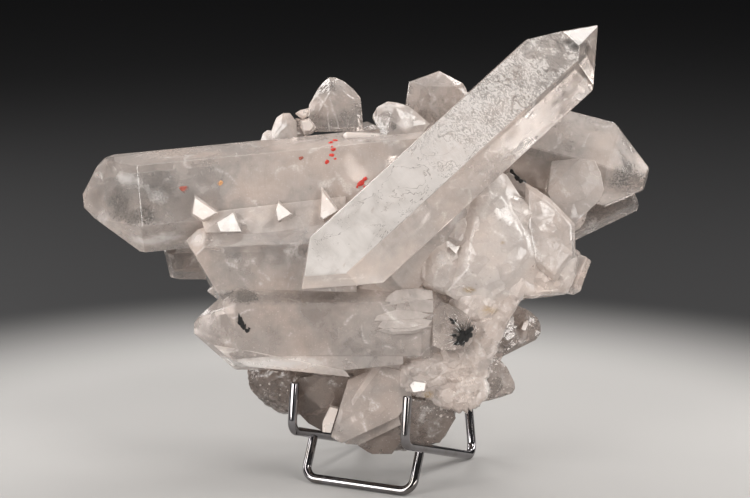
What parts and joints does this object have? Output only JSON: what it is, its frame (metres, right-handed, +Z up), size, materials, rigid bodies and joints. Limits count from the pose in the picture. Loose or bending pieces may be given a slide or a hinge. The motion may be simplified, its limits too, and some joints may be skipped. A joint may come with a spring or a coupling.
{
  "type": "quartz cluster on a wire stand",
  "caption": "Group of intergrown quartz crystals with long pointed ends, resting on a small easel of bent chrome wire.",
  "frame": {"origin": "middle of the footprint of the whole object, on the surface that it stands on", "axes": "+X to the right across the display face, along the greatest length; +Y to the back; +Z up"},
  "size_m": [0.2489, 0.1152, 0.1975],
  "materials": {
    "quartz": "clear to milky, glossy faces",
    "chrome_wire": "polished"
  },
  "bodies": {
    "root": {"cluster": "quartz", "stand_easel": "chrome_wire", "stand_foot": "chrome_wire"}
  },
  "joints": []
}
